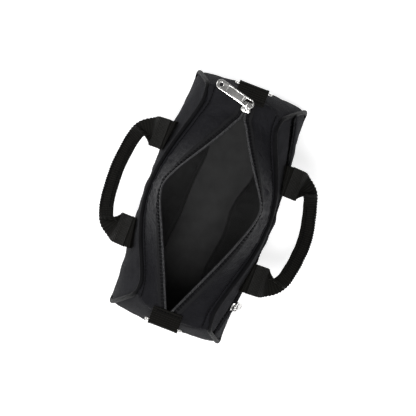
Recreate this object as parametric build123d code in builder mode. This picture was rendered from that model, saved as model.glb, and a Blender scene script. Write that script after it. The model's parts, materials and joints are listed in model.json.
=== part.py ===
from build123d import *
import os
from math import asin, cos, hypot, pi, radians, sin

# A small soft carry bag with an open zipped mouth, a zipped front pocket, two webbing handles
# and a ring tab at each end. Millimetres. X runs along the bag, Y from front to back, Z up.
# The origin is the centre of the flat underside.

# ---- body: the four corner edges lean in as they rise, and the long walls bulge between them ----
RIM_Z = 140.0  # height of the piped rim
BASE_CORNER_X, BASE_CORNER_Y = 129.0, 59.5  # piped corner edge at the floor
LEAN_X, LEAN_Y = 22.0, 21.5  # how far a corner edge leans in by the rim
SIDE_MID_Y, SIDE_BULGE = 60.5, 5.5  # long walls at mid-length
PINCH_Z, PINCH_REACH = 100.0, 0.9  # above this the long walls close in towards their ends
END_MID_X, END_LEAN, END_BULGE = 131.0, 16.0, 1.5  # end walls at mid-width
SHELL_T, LINING_T = 1.2, 0.6  # outer nylon, lining
SEAM_GAP = 3.0  # from a corner edge to the panel beside it, which the piping fills
LINING_OFF = 4.8  # from the shell's outer face to the lining's
PIPE_R = 1.9
PIPE_Z = 3.7  # centre of the piping along the floor
PIPE_RIM_Z = 141.0
PANEL_FOOT, PANEL_TOP = 6.2, 138.2
END_FOOT, END_TOP = 1.9, 139.8
LEVELS = (PANEL_FOOT, 40.0, 75.0, 102.0, 116.0, 128.0, PANEL_TOP)
END_LEVELS = (END_FOOT, 40.0, 75.0, 105.0, 125.0, END_TOP)

# ---- base ----
BASE_T = 1.5
BOARD_Z, BOARD_T = 1.8, 2.0
FLOOR_Z = 4.2

# ---- mouth: two gusset halves stand up round a lens-shaped opening ----
ZIP_Z = 150.0  # the chain where its two halves meet, near each end
MOUTH_OPEN_Y, MOUTH_RISE = 45.5, 34.0  # how far the zip edge spreads and rises at mid-length
MOUTH_HALF_X, MOUTH_TIP_R = 98.0, 9.0  # straight flanks to the ends, rounded at mid-length
ZIP_STRAIGHT_X, ZIP_TURN = 96.5, 17.0  # beyond this the halves run side by side
CHAIN_GAP = 0.6  # from the centre plane to each closed half of the chain
COIL_W, COIL_T = 2.4, 1.8
TAPE_W, TAPE_T = 5.9, 0.7
SEAM_STEP = 0.3  # clearance from one strip to the next
SHOULDER_X, SHOULDER_DROP, GUSSET_END_X = 109.0, 8.0, 116.0
CHAIN_END_X, TAPE_END_X = 107.5, 109.0
RIM_EDGE = 1.9  # from the rim to the gusset's edge
MOUTH_STATIONS = (*range(8, 105, 8), 109.0, 112.5)  # sections each side of mid-length

# ---- pocket in the front wall ----
POCKET_Z = 102.0
POCKET_TAPE_W = 3.3
POCKET_GAP = 0.5
POCKET_END = 4.0  # its zip stops this far from the corner edges
POCKET_BAG_Z = (16.0, 55.0, 94.0)

# ---- webbing ----
WEB_W, WEB_T = 30.0, 1.7
HANDLE_X = 51.0  # centre of each handle end
HINGE_Y, HINGE_Z = 61.0, 125.0  # the line where a handle's webbing bends away from the wall
HANDLE_REACH = 68.5
HANDLE_SLOPE = {"front": 47.5, "back": 51.5}  # degrees below level, as each one hangs
GRIP_W, GRIP_T = 15.0, 3.6
ANCHOR_FOOT = {"front": 109.6, "back": 84.0}
ANCHOR_TOP = 121.0

# ---- metal ----
RING_WIRE = 3.0
RING_BAR_HALF, RING_FAR_HALF, RING_DEPTH = 17.7, 13.5, 22.0
RING_LEAN = 9.0  # degrees from plumb, as it rests on the end wall
TAB_START_X, TAB_FOLD_X, TAB_Z = 108.0, 124.0, 151.6
TAB_LOOP = 5.4  # from one leg of the fold to the other
TAB_FOOT_Z = 122.0
SLIDER_WALL = 1.2
SLIDER_CLEAR = 0.8  # channel height beyond the chain's
SLOT_CLEAR = 0.5  # slot height beyond the tape's
BRIDGE_T, BRIDGE_W, LEG_T = 1.3, 2.2, 1.4
BRIDGE_INSET, NOSE_INSET = 0.5, 1.0  # from the slider's tail and nose to the bridge's legs
SLIDER_LIP, POST_L, POST_W = 1.0, 2.4, 0.7  # the turned-in rims, and the post that parts the two chains
MAIN_SLIDER_X = (97.0, 107.4)
MAIN_CROWN = 3.0  # clear height under the bridge
PULLER_ANGLE = 76.0  # degrees from +X towards +Y, as it lies
POCKET_SLIDER_X = -84.0
POCKET_SLIDER_L, POCKET_CROWN = 8.6, 3.8
POCKET_PULLER_LEAN = 15.0  # degrees from plumb
CHAIN_SINK = 0.5  # the middle of the pocket's chain lies this far inside the wall's outer face
MAIN_SLIDER_HALF_W, POCKET_SLIDER_HALF_W = 4.7, 4.3
MAIN_PULL = dict(length=42.0, width=9.8, thick=1.8, window=(8.6, 6.4, 4.3), window_at=5.9, hole_r=2.1)
POCKET_PULL = dict(length=25.0, width=8.0, thick=1.2, window=(7.8, 5.4, 2.0), window_at=3.1, hole_r=1.5)
POCKET_PULL_SINK = 1.95  # from the middle of the bridge to the middle of the pull below it


def corner_x(z):
    return BASE_CORNER_X - LEAN_X * (z / RIM_Z) ** 2


def corner_y(z):
    return BASE_CORNER_Y - LEAN_Y * (z / RIM_Z) ** 2


def side_y(z):
    return SIDE_MID_Y + SIDE_BULGE * sin(pi * min(z / RIM_Z, 1.0))


def end_x(z):
    return END_MID_X - END_LEAN * (z / RIM_Z) ** 2 + END_BULGE * sin(pi * min(z / RIM_Z, 1.0))


def smooth(t):
    t = min(max(t, 0.0), 1.0)
    return t * t * (3.0 - 2.0 * t)


def wall_y(x, z):
    """Half depth of a long wall's outer face: an arc low down, pinched near its ends at the rim."""
    s = min(abs(x) / corner_x(z), 1.0)
    arc = 1.0 - s**2
    pinched = max(0.0, 1.0 - (s / PINCH_REACH) ** 2) ** 1.5
    share = smooth((z - PINCH_Z) / (RIM_Z - PINCH_Z))
    return corner_y(z) + (side_y(z) - corner_y(z)) * (arc + (pinched - arc) * share)


def end_wall_x(y, z):
    """Half length of the bag at an end wall's outer face."""
    return corner_x(z) + (end_x(z) - corner_x(z)) * (1.0 - (y / corner_y(z)) ** 2)


def mouth_share(x):
    """0 where the chain is closed, 1 at mid-length."""
    flank = (MOUTH_HALF_X - hypot(x, MOUTH_TIP_R)) / (MOUTH_HALF_X - MOUTH_TIP_R)
    return max(flank, 0.0) * smooth((ZIP_STRAIGHT_X - abs(x)) / ZIP_TURN)


def across_zip(x, distance):
    """(y, z) at a distance from the chain's inner edge towards the rim."""
    share = mouth_share(x)
    over = max(0.0, abs(x) - SHOULDER_X) / (GUSSET_END_X - SHOULDER_X)
    y = CHAIN_GAP + MOUTH_OPEN_Y * share
    z = ZIP_Z + MOUTH_RISE * share - SHOULDER_DROP * over**2
    run, rise = wall_y(x, RIM_Z) - RIM_EDGE - y, PIPE_RIM_Z - z
    length = hypot(run, rise)
    across = (1.0 - share + share * run / length, share * rise / length)
    size = hypot(*across)
    return y + distance * across[0] / size, z + distance * across[1] / size


# ---------------------------------------------------------------- walls
def side_wall(levels, outer_in, thick, side, reach_in=SEAM_GAP):
    """A long wall, side -1 at the front and 1 at the back, lofted through level outlines."""
    with BuildPart() as wall:
        for z in levels:
            reach = corner_x(z) - reach_in
            along = [reach * k / 4 for k in range(-4, 5)]
            faces = [[(x, side * (wall_y(x, z) - depth)) for x in along] for depth in (outer_in, outer_in + thick)]
            with BuildSketch(Plane.XY.offset(z)):
                with BuildLine():
                    outer = Spline(*faces[0])
                    inner = Spline(*faces[1])
                    Line(outer @ 0, inner @ 0)
                    Line(outer @ 1, inner @ 1)
                make_face()
        loft()
    return wall


def end_wall(levels, outer_in, thick, end, reach_in=SEAM_GAP):
    """A short wall, end -1 or 1 along X."""
    with BuildPart() as wall:
        for z in levels:
            reach = corner_y(z) - reach_in
            near, far = end_wall_x(reach, z) - outer_in, end_x(z) - outer_in
            with BuildSketch(Plane.XY.offset(z)):
                with BuildLine():
                    outer = ThreePointArc((end * near, -reach), (end * far, 0), (end * near, reach))
                    inner = ThreePointArc(
                        (end * (near - thick), -reach),
                        (end * (far - thick), 0),
                        (end * (near - thick), reach),
                    )
                    Line(outer @ 0, inner @ 0)
                    Line(outer @ 1, inner @ 1)
                make_face()
        loft()
    return wall


def base_plate(half_x, half_y, low, thick, corner):
    with BuildPart() as plate:
        with BuildSketch(Plane.XY.offset(low)):
            RectangleRounded(2 * half_x, 2 * half_y, corner)
        extrude(amount=thick)
    return plate


def piping(side):
    """The covered cord round a long wall: along the floor, up both corner edges and over the rim."""
    rim_corner = (corner_x(RIM_Z), corner_y(RIM_Z) + 0.6)
    half = [
        (0.4, BASE_CORNER_Y, PIPE_Z),
        (BASE_CORNER_X, BASE_CORNER_Y, PIPE_Z),
        (BASE_CORNER_X, BASE_CORNER_Y, RIM_Z / 2),
        (*rim_corner, PIPE_RIM_Z),
        (92.0, rim_corner[1], PIPE_RIM_Z),
        (24.0, side_y(RIM_Z) + 1.1, PIPE_RIM_Z),
    ]
    radii = [4.0, 280.0, 4.0, 30.0, 120.0]
    points = [*half, *((-x, y, z) for x, y, z in reversed(half))]
    with BuildPart() as pipe:
        with BuildLine() as path:
            FilletPolyline(*[(x, side * y, z) for x, y, z in points], radius=[*radii, *reversed(radii)])
        with BuildSketch(Plane(origin=path.line @ 0, z_dir=path.line % 0)):
            Circle(PIPE_R)
        sweep()
    return pipe


# ---------------------------------------------------------------- mouth
def mouth_strip(end, inner, outer, thick, side):
    """A strip along the mouth between two distances from the chain's inner edge.
    With no outer distance it runs to the rim, and its ends are cut to the end walls' curve."""
    inside = [x for x in MOUTH_STATIONS if x < end - 1.0]
    with BuildPart() as strip:
        for x in (-end, *(-x for x in reversed(inside)), 0.0, *inside, end):
            a = across_zip(x, inner)
            b = across_zip(x, outer) if outer else (wall_y(x, RIM_Z) - RIM_EDGE, PIPE_RIM_Z)
            half = thick / 2 / hypot(b[0] - a[0], b[1] - a[1])
            y_off, z_off = -(b[1] - a[1]) * half, (b[0] - a[0]) * half
            with BuildSketch(Plane.YZ.offset(x)):
                Polygon(
                    (side * (a[0] + y_off), a[1] + z_off),
                    (side * (b[0] + y_off), b[1] + z_off),
                    (side * (b[0] - y_off), b[1] - z_off),
                    (side * (a[0] - y_off), a[1] - z_off),
                    align=None,
                )
        loft()
        if not outer:
            wide = corner_y(RIM_Z)
            corner, middle = end_wall_x(wide, RIM_Z), end_x(RIM_Z)
            with BuildSketch():
                with BuildLine():
                    right = ThreePointArc((corner, -wide), (middle, 0), (corner, wide))
                    left = ThreePointArc((-corner, wide), (-middle, 0), (-corner, -wide))
                    Polyline(right @ 1, (0, 2 * wide), left @ 0)
                    Polyline(left @ 1, (0, -2 * wide), right @ 0)
                make_face()
            extrude(amount=2 * RIM_Z, mode=Mode.INTERSECT)
    return strip


# ---------------------------------------------------------------- webbing and rings
def ring_tab(end):
    """A webbing loop over the zip's end, folded round the ring's bar and sewn down the end wall."""
    low = TAB_Z - TAB_LOOP
    points = [
        (TAB_START_X, TAB_Z),
        (TAB_FOLD_X, TAB_Z),
        (TAB_FOLD_X, low),
        (end_x(RIM_Z) + 1.9, low - 1.2),
        (end_x(TAB_FOOT_Z) + 1.4, TAB_FOOT_Z),
    ]
    with BuildPart() as tab:
        with BuildLine(Plane.XZ) as path:
            FilletPolyline(*[(end * x, z) for x, z in points], radius=[2.65, 2.45, 3.0])
        with BuildSketch(Plane(origin=path.line @ 0, x_dir=(0, 1, 0), z_dir=path.line % 0)):
            Rectangle(WEB_W, WEB_T)
        sweep()
    return tab


def end_ring(end):
    """A D-shaped ring of round wire, hanging from its tab with its far side on the end wall."""
    lean = radians(RING_LEAN)
    bar = ((TAB_FOLD_X - TAB_LOOP / 2) * end, 0, TAB_Z - TAB_LOOP / 2)
    face = Plane(origin=bar, x_dir=(0, -end, 0), z_dir=(end * cos(lean), 0, sin(lean)))
    corners = [(0, 0), (RING_BAR_HALF, 0), (RING_FAR_HALF, RING_DEPTH), (0, RING_DEPTH)]
    with BuildPart() as ring:
        with BuildLine(face) as path:
            FilletPolyline(*corners, radius=[2.4, 9.0])
        with BuildSketch(Plane(origin=path.line @ 0, z_dir=path.line % 0)):
            Circle(RING_WIRE / 2)
        sweep()
        mirror(about=Plane.XZ)
    return ring


def handle_ends(name, side):
    """The two sewn ends of a handle, flat on the wall's outer face."""
    foot = ANCHOR_FOOT[name]
    with BuildPart() as ends:
        for centre in (-HANDLE_X, HANDLE_X):
            low, high = centre - WEB_W / 2, centre + WEB_W / 2
            for z in (foot, (foot + ANCHOR_TOP) / 2, ANCHOR_TOP):
                near, far = wall_y(low, z) + 0.9, wall_y(high, z) + 0.9
                with BuildSketch(Plane.XY.offset(z)):
                    Polygon(
                        (low, side * near),
                        (high, side * far),
                        (high, side * (far + WEB_T)),
                        (low, side * (near + WEB_T)),
                        align=None,
                    )
            loft()
    return ends


def handle_loop(name, side):
    """A handle's free webbing: flat at both ends, folded in half along the grip."""
    slope = radians(HANDLE_SLOPE[name])
    hinge = Plane(
        origin=(0, side * HINGE_Y, HINGE_Z), x_dir=(side, 0, 0), z_dir=(0, side * sin(slope), cos(slope))
    )
    outside, inside = HANDLE_X + WEB_W / 2, HANDLE_X - WEB_W / 2
    reach, grip_in = HANDLE_REACH, HANDLE_REACH - GRIP_W
    shoulder = [(outside, 0), (outside, reach - 23), (outside / 2, reach)]
    armpit = [(inside, 0), (inside, reach / 2), (inside - 14, grip_in)]
    grip_half = outside / 2 - 2
    with BuildPart() as loop:
        with BuildSketch(hinge):
            with BuildLine():
                FilletPolyline(
                    *shoulder, *((-x, y) for x, y in reversed(shoulder)), radius=[28.0, 60.0, 60.0, 28.0]
                )
                FilletPolyline(
                    *armpit, *((-x, y) for x, y in reversed(armpit)), radius=[9.0, 20.0, 20.0, 9.0]
                )
                Line((-outside, 0), (-inside, 0))
                Line((outside, 0), (inside, 0))
            make_face()
        extrude(amount=WEB_T / 2, both=True)
        with BuildSketch(hinge):
            with Locations((0, (reach + grip_in) / 2)):
                RectangleRounded(2 * grip_half, GRIP_W, 2.0)
        extrude(amount=GRIP_T / 2, both=True)
    return loop


# ---------------------------------------------------------------- zip sliders and pullers
def slider(plane, length, half_w, crown):
    """A zip slider on a plane whose X points to its nose and whose Z faces out of the bag."""
    channel, slot, lip = COIL_T + SLIDER_CLEAR, TAPE_T + SLOT_CLEAR, SLIDER_LIP
    top, nose = channel / 2 + SLIDER_WALL, length / 2
    roof, tail, foot = top + crown, BRIDGE_INSET - nose, top - 0.3
    with BuildPart(plane) as body:
        for up in (-1, 1):
            with Locations((0, 0, up * (channel + SLIDER_WALL) / 2)):
                Box(length, 2 * half_w, SLIDER_WALL)
            for hand in (-1, 1):
                with Locations((0, hand * (half_w - lip / 2), up * (channel + slot) / 4)):
                    Box(length * 0.8, lip, (channel - slot) / 2)
        with Locations((nose - POST_L / 2, 0, 0)):
            Box(POST_L, POST_W, channel + SLIDER_WALL)
        with BuildSketch(Plane(origin=plane.origin, x_dir=plane.x_dir, z_dir=-plane.y_dir)):
            with BuildLine():
                outer = FilletPolyline(
                    (tail, foot), (tail, roof + BRIDGE_T), (nose - NOSE_INSET, roof + BRIDGE_T),
                    (nose - NOSE_INSET, foot), radius=1.6,
                )
                inner = FilletPolyline(
                    (tail + LEG_T, foot), (tail + LEG_T, roof), (nose - NOSE_INSET - LEG_T, roof),
                    (nose - NOSE_INSET - LEG_T, foot), radius=0.4,
                )
                Line(outer @ 0, inner @ 0)
                Line(outer @ 1, inner @ 1)
            make_face()
        extrude(amount=BRIDGE_W / 2, both=True)
    return body


def puller(plane, length, width, thick, window, window_at, hole_r):
    """A flat pull on a plane: its window is round the origin and it reaches along the plane's X."""
    with BuildPart() as pull:
        with BuildSketch(plane):
            with Locations((length / 2 - window_at, 0)):
                RectangleRounded(length, width, min(window_at, width) * 0.48)
            with Locations((window[0] / 2 - window[2], 0)):
                RectangleRounded(window[0], window[1], window[1] * 0.45, mode=Mode.SUBTRACT)
            if hole_r:
                with Locations((length - window_at - width / 2, 0)):
                    Circle(hole_r, mode=Mode.SUBTRACT)
        extrude(amount=thick / 2, both=True)
    return pull


# ---------------------------------------------------------------- assembly
pocket_edge = POCKET_GAP + COIL_W + POCKET_TAPE_W + 2 * SEAM_STEP
lower_levels = (PANEL_FOOT, 35.0, 65.0, POCKET_Z - pocket_edge)
upper_levels = (POCKET_Z + pocket_edge, 115.0, 122.0, 130.0, PANEL_TOP)
lining_levels = (FLOOR_Z + 1.2, 40.0, 75.0, 102.0, 116.0, 128.0, PANEL_TOP - 1.0)
lining_reach = SEAM_GAP + 3.0

pieces = {
    "front_panel": side_wall(lower_levels, 0.0, SHELL_T, -1),
    "front_yoke": side_wall(upper_levels, 0.0, SHELL_T, -1),
    "back_panel": side_wall(LEVELS, 0.0, SHELL_T, 1),
    "base_panel": base_plate(BASE_CORNER_X + 0.5, BASE_CORNER_Y - 0.5, 0.0, BASE_T, 9.0),
    "base_board": base_plate(BASE_CORNER_X - 8.0, BASE_CORNER_Y - 6.0, BOARD_Z, BOARD_T, 6.0),
    "lining_front": side_wall(lining_levels, LINING_OFF, LINING_T, -1, lining_reach),
    "lining_back": side_wall(lining_levels, LINING_OFF, LINING_T, 1, lining_reach),
    "lining_floor": base_plate(BASE_CORNER_X - 5.0, BASE_CORNER_Y - 5.0, FLOOR_Z, LINING_T, 5.0),
    "pocket_lining": side_wall(POCKET_BAG_Z, SHELL_T + 0.8, 0.5, -1, 9.0),
}

for name, side in (("front", -1), ("back", 1)):
    tape_in = COIL_W + SEAM_STEP
    tape_out = tape_in + TAPE_W
    pieces[f"piping_{name}"] = piping(side)
    pieces[f"zip_coil_{name}"] = mouth_strip(CHAIN_END_X, 0.0, COIL_W, COIL_T, side)
    pieces[f"zip_tape_{name}"] = mouth_strip(TAPE_END_X, tape_in, tape_out, TAPE_T, side)
    pieces[f"top_gusset_{name}"] = mouth_strip(GUSSET_END_X, tape_out + SEAM_STEP, None, SHELL_T, side)
    pieces[f"handle_{name}_loop"] = handle_loop(name, side)
    pieces[f"handle_{name}_ends"] = handle_ends(name, side)

for name, end in (("left", -1), ("right", 1)):
    pieces[f"end_panel_{name}"] = end_wall(END_LEVELS, 0.0, SHELL_T, end)
    pieces[f"lining_end_{name}"] = end_wall(lining_levels, LINING_OFF, LINING_T, end, lining_reach + 1.0)
    pieces[f"ring_tab_{name}"] = ring_tab(end)
    pieces[f"ring_{name}"] = end_ring(end)

# the pocket's zip runs along one level arc of the front wall, so its slider turns about that arc's centre
arc_reach = corner_x(POCKET_Z) - POCKET_END
arc_side = wall_y(arc_reach, POCKET_Z)
arc_rise = side_y(POCKET_Z) - arc_side
arc_radius = (arc_reach**2 + arc_rise**2) / (2 * arc_rise)
arc_centre_y = arc_radius - side_y(POCKET_Z)


def pocket_strip(low, high, thick):
    """A strip along the pocket's zip, between two heights, centred on the chain's own arc."""
    with BuildPart() as strip:
        with BuildSketch(Plane.XY.offset(low)):
            with BuildLine():
                arcs = []
                for depth in (CHAIN_SINK - thick / 2, CHAIN_SINK + thick / 2):
                    end_y, middle_y = depth - arc_side, depth - arc_side - arc_rise
                    arcs.append(ThreePointArc((-arc_reach, end_y), (0, middle_y), (arc_reach, end_y)))
                Line(arcs[0] @ 0, arcs[1] @ 0)
                Line(arcs[0] @ 1, arcs[1] @ 1)
            make_face()
        extrude(amount=high - low)
    return strip


tape_near = POCKET_GAP + COIL_W + SEAM_STEP
coil_top, tape_top = POCKET_GAP + COIL_W, tape_near + POCKET_TAPE_W
pieces["pocket_coil_upper"] = pocket_strip(POCKET_Z + POCKET_GAP, POCKET_Z + coil_top, COIL_T)
pieces["pocket_coil_lower"] = pocket_strip(POCKET_Z - coil_top, POCKET_Z - POCKET_GAP, COIL_T)
pieces["pocket_tape_upper"] = pocket_strip(POCKET_Z + tape_near, POCKET_Z + tape_top, TAPE_T)
pieces["pocket_tape_lower"] = pocket_strip(POCKET_Z - tape_top, POCKET_Z - tape_near, TAPE_T)

# the main slider is at the right end of the mouth, with its nose to the left
main_plane = Plane(origin=(sum(MAIN_SLIDER_X) / 2, 0, ZIP_Z), x_dir=(-1, 0, 0), z_dir=(0, 0, 1))
pieces["main_slider"] = slider(
    main_plane, MAIN_SLIDER_X[1] - MAIN_SLIDER_X[0], MAIN_SLIDER_HALF_W, MAIN_CROWN
)
plate_top = (COIL_T + SLIDER_CLEAR) / 2 + SLIDER_WALL
lie = radians(PULLER_ANGLE)
swivel = Plane(
    origin=(MAIN_SLIDER_X[1] - BRIDGE_INSET - LEG_T / 2, 0, ZIP_Z + plate_top + MAIN_CROWN / 2),
    x_dir=(cos(lie), sin(lie), 0),
    z_dir=(0, 0, 1),
)
pieces["main_puller"] = puller(swivel, **MAIN_PULL)

# the pocket's slider, nose to the left, and its pull, which hangs under the bridge
chain_radius = arc_radius - CHAIN_SINK
turn = asin(POCKET_SLIDER_X / chain_radius)
outward, along = Vector(sin(turn), -cos(turn), 0), Vector(cos(turn), sin(turn), 0)
pocket_origin = Vector(0, arc_centre_y, POCKET_Z) + outward * chain_radius
pocket_plane = Plane(origin=pocket_origin, x_dir=-along, z_dir=outward)
pieces["pocket_slider"] = slider(pocket_plane, POCKET_SLIDER_L, POCKET_SLIDER_HALF_W, POCKET_CROWN)
lean = radians(POCKET_PULLER_LEAN)
bridge = pocket_origin + outward * (plate_top + POCKET_CROWN + BRIDGE_T / 2)
bridge += along * (POCKET_SLIDER_L / 2 - BRIDGE_INSET - LEG_T / 2)
hang = outward * sin(lean) - Vector(0, 0, cos(lean))
under = -outward * cos(lean) - Vector(0, 0, sin(lean))
pull_plane = Plane(origin=bridge + under * POCKET_PULL_SINK, x_dir=hang, z_dir=-under)
pieces["pocket_puller"] = puller(pull_plane, **POCKET_PULL)

os.makedirs("parts", exist_ok=True)
for name, piece in pieces.items():
    piece.part.label = name
    export_step(piece.part, f"parts/{name}.step")
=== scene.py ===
import json
import math
from math import cos, exp, hypot, pi, radians, sin

import bpy
import numpy as np
from mathutils import Matrix, Vector, noise


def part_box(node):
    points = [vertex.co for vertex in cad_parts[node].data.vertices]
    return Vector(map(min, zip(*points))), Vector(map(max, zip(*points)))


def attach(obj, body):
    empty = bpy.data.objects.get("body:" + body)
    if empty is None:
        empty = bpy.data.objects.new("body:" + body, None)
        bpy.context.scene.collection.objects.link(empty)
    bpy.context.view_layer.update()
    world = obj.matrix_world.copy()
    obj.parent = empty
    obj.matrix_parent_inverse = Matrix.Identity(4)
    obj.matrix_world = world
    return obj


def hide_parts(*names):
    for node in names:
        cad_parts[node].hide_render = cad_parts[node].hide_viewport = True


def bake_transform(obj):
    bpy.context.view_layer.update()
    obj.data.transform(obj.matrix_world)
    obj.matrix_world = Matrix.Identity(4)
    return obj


# A small black nylon carry bag with an open zipped mouth. Metres, in the CAD model's frame:
# +X along the bag to the main slider's end, -Y to the front with the zipped pocket, +Z up.

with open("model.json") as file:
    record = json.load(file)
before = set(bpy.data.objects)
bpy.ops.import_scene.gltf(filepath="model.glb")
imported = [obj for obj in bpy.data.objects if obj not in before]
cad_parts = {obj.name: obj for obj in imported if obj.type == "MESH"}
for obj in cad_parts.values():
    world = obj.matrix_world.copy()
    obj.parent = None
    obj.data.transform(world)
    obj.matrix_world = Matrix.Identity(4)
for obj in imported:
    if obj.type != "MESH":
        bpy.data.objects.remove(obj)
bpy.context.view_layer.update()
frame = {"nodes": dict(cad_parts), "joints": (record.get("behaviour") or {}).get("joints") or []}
MM = 0.001

# ---- the body's shape, as the CAD model has it ----
RIM_Z = 140 * MM
BASE_CORNER_X, BASE_CORNER_Y = 129 * MM, 59.5 * MM
LEAN_X, LEAN_Y = 22 * MM, 21.5 * MM
SIDE_MID_Y, SIDE_BULGE = 60.5 * MM, 5.5 * MM
PINCH_Z, PINCH_REACH = 100 * MM, 0.9
END_MID_X, END_LEAN, END_BULGE = 131 * MM, 16 * MM, 1.5 * MM
SKEW, TIP_SHIFT = 4 * MM, 8 * MM  # how the soft rim has slumped towards two opposite corners
PIPE_R = 2.2 * MM
SEAM_DIP, SEAM_REACH = 1.4 * MM, 6 * MM  # how panels draw in beside the piping
PIPE_RIM_Z = 141 * MM
ZIP_Z = 150 * MM
MOUTH_OPEN_Y, MOUTH_RISE = 46.5 * MM, 33 * MM
MOUTH_RIGHT_X, MOUTH_LEFT_X = 98 * MM, -112 * MM  # the slider's end closes, the other gapes
MOUTH_TIP_R = 13 * MM
MOUTH_PEAK_X = {-1: 12 * MM, 1: 2 * MM}  # where each lip stands widest
ZIP_STRAIGHT_X, ZIP_TURN = 97 * MM, 14 * MM
CHAIN_GAP = 0.6 * MM
COIL_W, TAPE_W = 2.4 * MM, 6.2 * MM
SHOULDER_X, SHOULDER_DROP, GUSSET_END_X = 109 * MM, 8 * MM, 116 * MM
POCKET_Z, POCKET_SLIDER_X, CHAIN_SINK = 102 * MM, -84 * MM, 0.5 * MM
NYLON_T, LINING_T = 0.9 * MM, 0.5 * MM
LINING_OFF = 5.4 * MM
WEB_W, WEB_T = 30 * MM, 1.6 * MM
HANDLE_X = 51 * MM
JOINTS = {joint["name"]: joint for joint in frame["joints"]}
HANDLE_REACH = 65.5 * MM
HANDLE_DROOP = {"front": 0.11, "back": 0.0}  # how much the grip's right half falls back towards the bag
HANDLE_SLOPE = {"front": radians(47.5), "back": radians(51.5)}
GRIP_W = 15 * MM
ANCHOR_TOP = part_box("handle_front_ends")[1].z
ANCHOR_FOOT = {name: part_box(f"handle_{name}_ends")[0].z for name in ("front", "back")}
SIDES = {"front": -1, "back": 1}
ENDS = {"left": -1, "right": 1}


def smooth(t):
    t = min(max(t, 0.0), 1.0)
    return t * t * (3.0 - 2.0 * t)


def corner_x(z):
    return BASE_CORNER_X - LEAN_X * (z / RIM_Z) ** 2


def corner_y(z):
    return BASE_CORNER_Y - LEAN_Y * (z / RIM_Z) ** 2


def side_y(z):
    return SIDE_MID_Y + SIDE_BULGE * sin(pi * min(max(z / RIM_Z, 0.0), 1.0))


def end_x(z):
    return END_MID_X - END_LEAN * (z / RIM_Z) ** 2 + END_BULGE * sin(pi * min(max(z / RIM_Z, 0.0), 1.0))


def wall_y(x, z, side):
    """Half depth of a long wall's outer face. Towards the rim it bulges a little off centre."""
    share = smooth((z - PINCH_Z) / (RIM_Z - PINCH_Z))
    reach = corner_x(z)
    s = min(abs(x) / reach, 1.0)
    shifted = min(abs(x + side * TIP_SHIFT * (1.0 - s)) / reach, 1.0)
    arc = 1.0 - s**2
    pinched = max(0.0, 1.0 - (shifted / PINCH_REACH) ** 2) ** 1.5
    return corner_y(z) + (side_y(z) - corner_y(z)) * (arc + (pinched - arc) * share)


def end_wall_x(y, z):
    return corner_x(z) + (end_x(z) - corner_x(z)) * max(0.0, 1.0 - (y / corner_y(z)) ** 2)


def slump(point):
    """Moves a point of the soft body the way the empty bag leans: towards two opposite rim corners."""
    x, y, z = point
    level = min(max(z / RIM_Z, 0.0), 1.0) ** 4
    out = min(abs(y) / corner_y(RIM_Z), 1.0) ** 2
    along = x / corner_x(RIM_Z)
    side = 1.0 if y > 0 else -1.0
    return (x + side * SKEW * level * out * along**2, y + SKEW * level * out * along, z)


def mouth_share(x, side):
    """0 where the chain is closed, 1 at the widest."""
    peak = MOUTH_PEAK_X[side]
    half = MOUTH_RIGHT_X - peak if x > peak else peak - MOUTH_LEFT_X
    flank = max(0.0, (half - hypot(x - peak, MOUTH_TIP_R)) / (half - MOUTH_TIP_R))
    return flank**1.25 * smooth((ZIP_STRAIGHT_X - x) / ZIP_TURN) if x > peak else flank


def rim_edge_y(x, side):
    return wall_y(x, RIM_Z, side) - 0.5 * MM


def across_zip(x, distance, side):
    """(|y|, z) at a distance from the chain's inner edge towards the rim."""
    share = mouth_share(x, side)
    over = max(0.0, abs(x) - SHOULDER_X) / (GUSSET_END_X - SHOULDER_X)
    y = CHAIN_GAP + MOUTH_OPEN_Y * share
    z = ZIP_Z + MOUTH_RISE * share ** (1.0 if x > 0 else 1.4) - SHOULDER_DROP * over**2
    run, rise = rim_edge_y(x, side) - y, PIPE_RIM_Z - z
    length = hypot(run, rise)
    across = (1.0 - share + share * run / length, share * rise / length)
    size = hypot(*across)
    return y + distance * across[0] / size, z + distance * across[1] / size


# ---------------------------------------------------------------- mesh tools
def build(name, solid, made, body="bag", stands_for=(), slot=None):
    """A piece in the CAD frame. A solid is its vertices, its faces, and a (u, v) in metres for each vertex.
    The slot argument is not used. When it is missing, it falls back to the material's name, less any number
    Blender adds."""
    verts, faces, uvs = solid
    mesh = bpy.data.meshes.new(name)
    mesh.from_pydata([tuple(v) for v in verts], [], [tuple(f) for f in faces])
    mesh.validate()
    layer = mesh.uv_layers.new(name="cloth")
    corner_vertex = np.zeros(len(mesh.loops), int)
    mesh.loops.foreach_get("vertex_index", corner_vertex)
    layer.data.foreach_set("uv", np.asarray(uvs, float)[corner_vertex].ravel())
    mesh.polygons.foreach_set("use_smooth", [True] * len(mesh.polygons))
    mesh.update()
    piece = bpy.data.objects.new(name, mesh)
    bpy.context.scene.collection.objects.link(piece)
    piece.data.materials.append(made)
    slot = slot or made.name.split(".")[0]
    if stands_for:
        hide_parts(*stands_for)
    if body:
        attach(piece, body)
    return piece


def unit(vectors):
    return vectors / np.maximum(np.linalg.norm(vectors, axis=-1, keepdims=True), 1e-12)


def lengths_along(path):
    """The distance along a path at each of its points."""
    return np.concatenate([[0], np.cumsum(np.linalg.norm(np.diff(path, axis=0), axis=1))])


def read_along(at, length, values):
    """What the path's values are at some distances along it."""
    return np.stack([np.interp(at, length, values[:, k]) for k in range(values.shape[1])], axis=1)


def grid_normals(points):
    return unit(np.cross(np.gradient(points, axis=1), np.gradient(points, axis=0)))


def cloth_uvs(points):
    """Distances along the middle row and down the middle column of a grid."""
    rows, columns = points.shape[:2]
    u = lengths_along(points[rows // 2])
    v = lengths_along(points[:, columns // 2])
    return np.stack(np.broadcast_arrays(u[None, :], v[:, None]), axis=2)


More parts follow.
